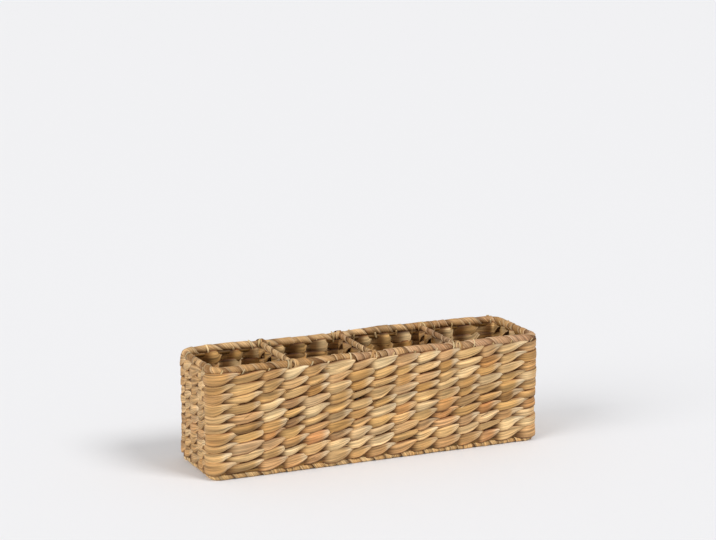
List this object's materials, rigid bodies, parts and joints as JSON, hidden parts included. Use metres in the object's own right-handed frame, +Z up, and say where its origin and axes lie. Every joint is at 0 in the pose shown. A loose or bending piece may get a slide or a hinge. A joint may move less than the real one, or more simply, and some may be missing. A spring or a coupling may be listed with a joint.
{
  "type": "pen holder",
  "caption": "Long, low open basket of flat leaf twined on a wire frame, with woven dividers that make compartments for pens and small desk tools.",
  "frame": {"origin": "middle of the footprint, on the surface that the holder stands on", "axes": "+X along the length to the right, +Y to the back, +Z up"},
  "size_m": [0.35, 0.092, 0.11],
  "materials": {
    "iron_wire": "matte",
    "weft_leaf": "satin",
    "rim_leaf": "satin",
    "foot_leaf": "satin",
    "divider_leaf": "satin",
    "floor_leaf": "satin"
  },
  "bodies": {
    "root": {"foot_wire": "iron_wire", "rim_wire": "iron_wire", "corner_post_back_right": "iron_wire", "corner_post_back_left": "iron_wire", "corner_post_front_left": "iron_wire", "corner_post_front_right": "iron_wire", "cross_stake_01": "iron_wire", "cross_stake_02": "iron_wire", "cross_stake_03": "iron_wire", "cross_stake_04": "iron_wire", "cross_stake_05": "iron_wire", "cross_stake_06": "iron_wire", "cross_stake_07": "iron_wire", "cross_stake_08": "iron_wire", "cross_stake_09": "iron_wire", "cross_stake_10": "iron_wire", "cross_stake_11": "iron_wire", "cross_stake_12": "iron_wire", "cross_stake_13": "iron_wire", "long_stake_1": "iron_wire", "long_stake_2": "iron_wire", "long_stake_3": "iron_wire", "divider_frame_1": "iron_wire", "divider_frame_2": "iron_wire", "divider_frame_3": "iron_wire", "foot_wrap": "foot_leaf", "rim_wrap": "rim_leaf", "divider_wrap_1": "rim_leaf", "divider_wrap_2": "rim_leaf", "divider_wrap_3": "rim_leaf", "divider_weave_1": "divider_leaf", "divider_weave_2": "divider_leaf", "divider_weave_3": "divider_leaf", "floor_weave_under": "floor_leaf", "floor_weave_top": "floor_leaf", "weft_row_01_outer": "weft_leaf", "weft_row_02_outer": "weft_leaf", "weft_row_03_outer": "weft_leaf", "weft_row_04_outer": "weft_leaf", "weft_row_05_outer": "weft_leaf", "weft_row_06_outer": "weft_leaf", "weft_row_07_outer": "weft_leaf", "weft_row_08_outer": "weft_leaf", "weft_row_09_outer": "weft_leaf", "weft_row_10_outer": "weft_leaf", "weft_row_01_inner": "weft_leaf", "weft_row_02_inner": "weft_leaf", "weft_row_03_inner": "weft_leaf", "weft_row_04_inner": "weft_leaf", "weft_row_05_inner": "weft_leaf", "weft_row_06_inner": "weft_leaf", "weft_row_07_inner": "weft_leaf", "weft_row_08_inner": "weft_leaf", "weft_row_09_inner": "weft_leaf", "weft_row_10_inner": "weft_leaf"}
  },
  "joints": []
}
